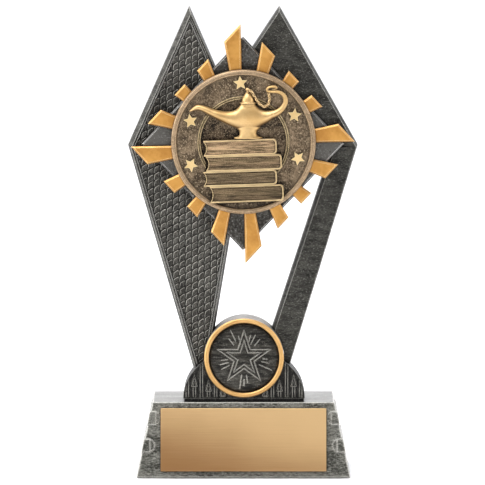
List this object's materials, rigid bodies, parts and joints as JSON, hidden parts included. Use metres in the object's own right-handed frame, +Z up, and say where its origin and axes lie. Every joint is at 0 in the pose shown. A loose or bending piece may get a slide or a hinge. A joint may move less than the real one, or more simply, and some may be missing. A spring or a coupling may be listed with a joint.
{
  "type": "learning award trophy",
  "caption": "Upright award: tapered plinth with engraving plate, ribbed foot with round star badge, two pointed blades, gold sunburst and a medallion with an oil lamp on books.",
  "frame": {"origin": "on the table, under the middle of the plinth's foot", "axes": "+Z up; the front with the engraving plate, badge and medallion faces -Y; +X to the right seen from the front"},
  "size_m": [0.0859, 0.0425, 0.176],
  "materials": {
    "blade_silver": "cast resin, antique silver paint worn bright on the edges",
    "scale_silver": "cast resin, antique silver paint over raised scales",
    "foot_silver": "cast resin, antique silver paint",
    "plinth_silver": "weighted cast resin, pale antique silver paint",
    "diamond_silver": "cast resin, dark antique silver paint",
    "ray_gold": "satin gold paint",
    "medal_bronze": "antique bronze paint",
    "rim_bronze": "rubbed antique gold paint",
    "book_bronze": "antique bronze paint rubbed back on the edges",
    "lamp_gold": "satin gold paint",
    "star_gold": "pale gold paint",
    "cup_gold": "satin gold",
    "badge_pewter": "dark spun face with rubbed raised lines",
    "plate_metal": "brushed satin gold anodised",
    "adhesive": "white foam tape",
    "felt": "black felt",
    "steel": "zinc-plated steel",
    "brass_insert": "knurled brass"
  },
  "bodies": {
    "root": {"plinth": "plinth_silver", "plinth_felt": "felt", "engraving_plate": "plate_metal", "plate_tape": "adhesive", "ribbed_foot": "foot_silver", "badge_cup": "foot_silver", "badge_rim": "cup_gold", "badge_insert": "badge_pewter", "badge_pad": "adhesive", "left_blade": "blade_silver", "scale_panel": "scale_silver", "right_blade": "blade_silver", "diamond_plate": "diamond_silver", "sunburst": "ray_gold", "medallion_disc": "medal_bronze", "medallion_rim": "rim_bronze", "inner_ring": "medal_bronze", "book_1": "book_bronze", "book_2": "book_bronze", "book_3": "book_bronze", "book_4": "book_bronze", "lamp_bowl": "lamp_gold", "lamp_lid": "lamp_gold", "lamp_finial": "lamp_gold", "lamp_handle": "lamp_gold", "lamp_chain": "lamp_gold", "relief_stars": "star_gold", "plate_dowels": "steel", "hub_dowels": "steel", "assembly_screws": "steel", "screw_washers": "steel", "threaded_inserts": "brass_insert"}
  },
  "joints": []
}
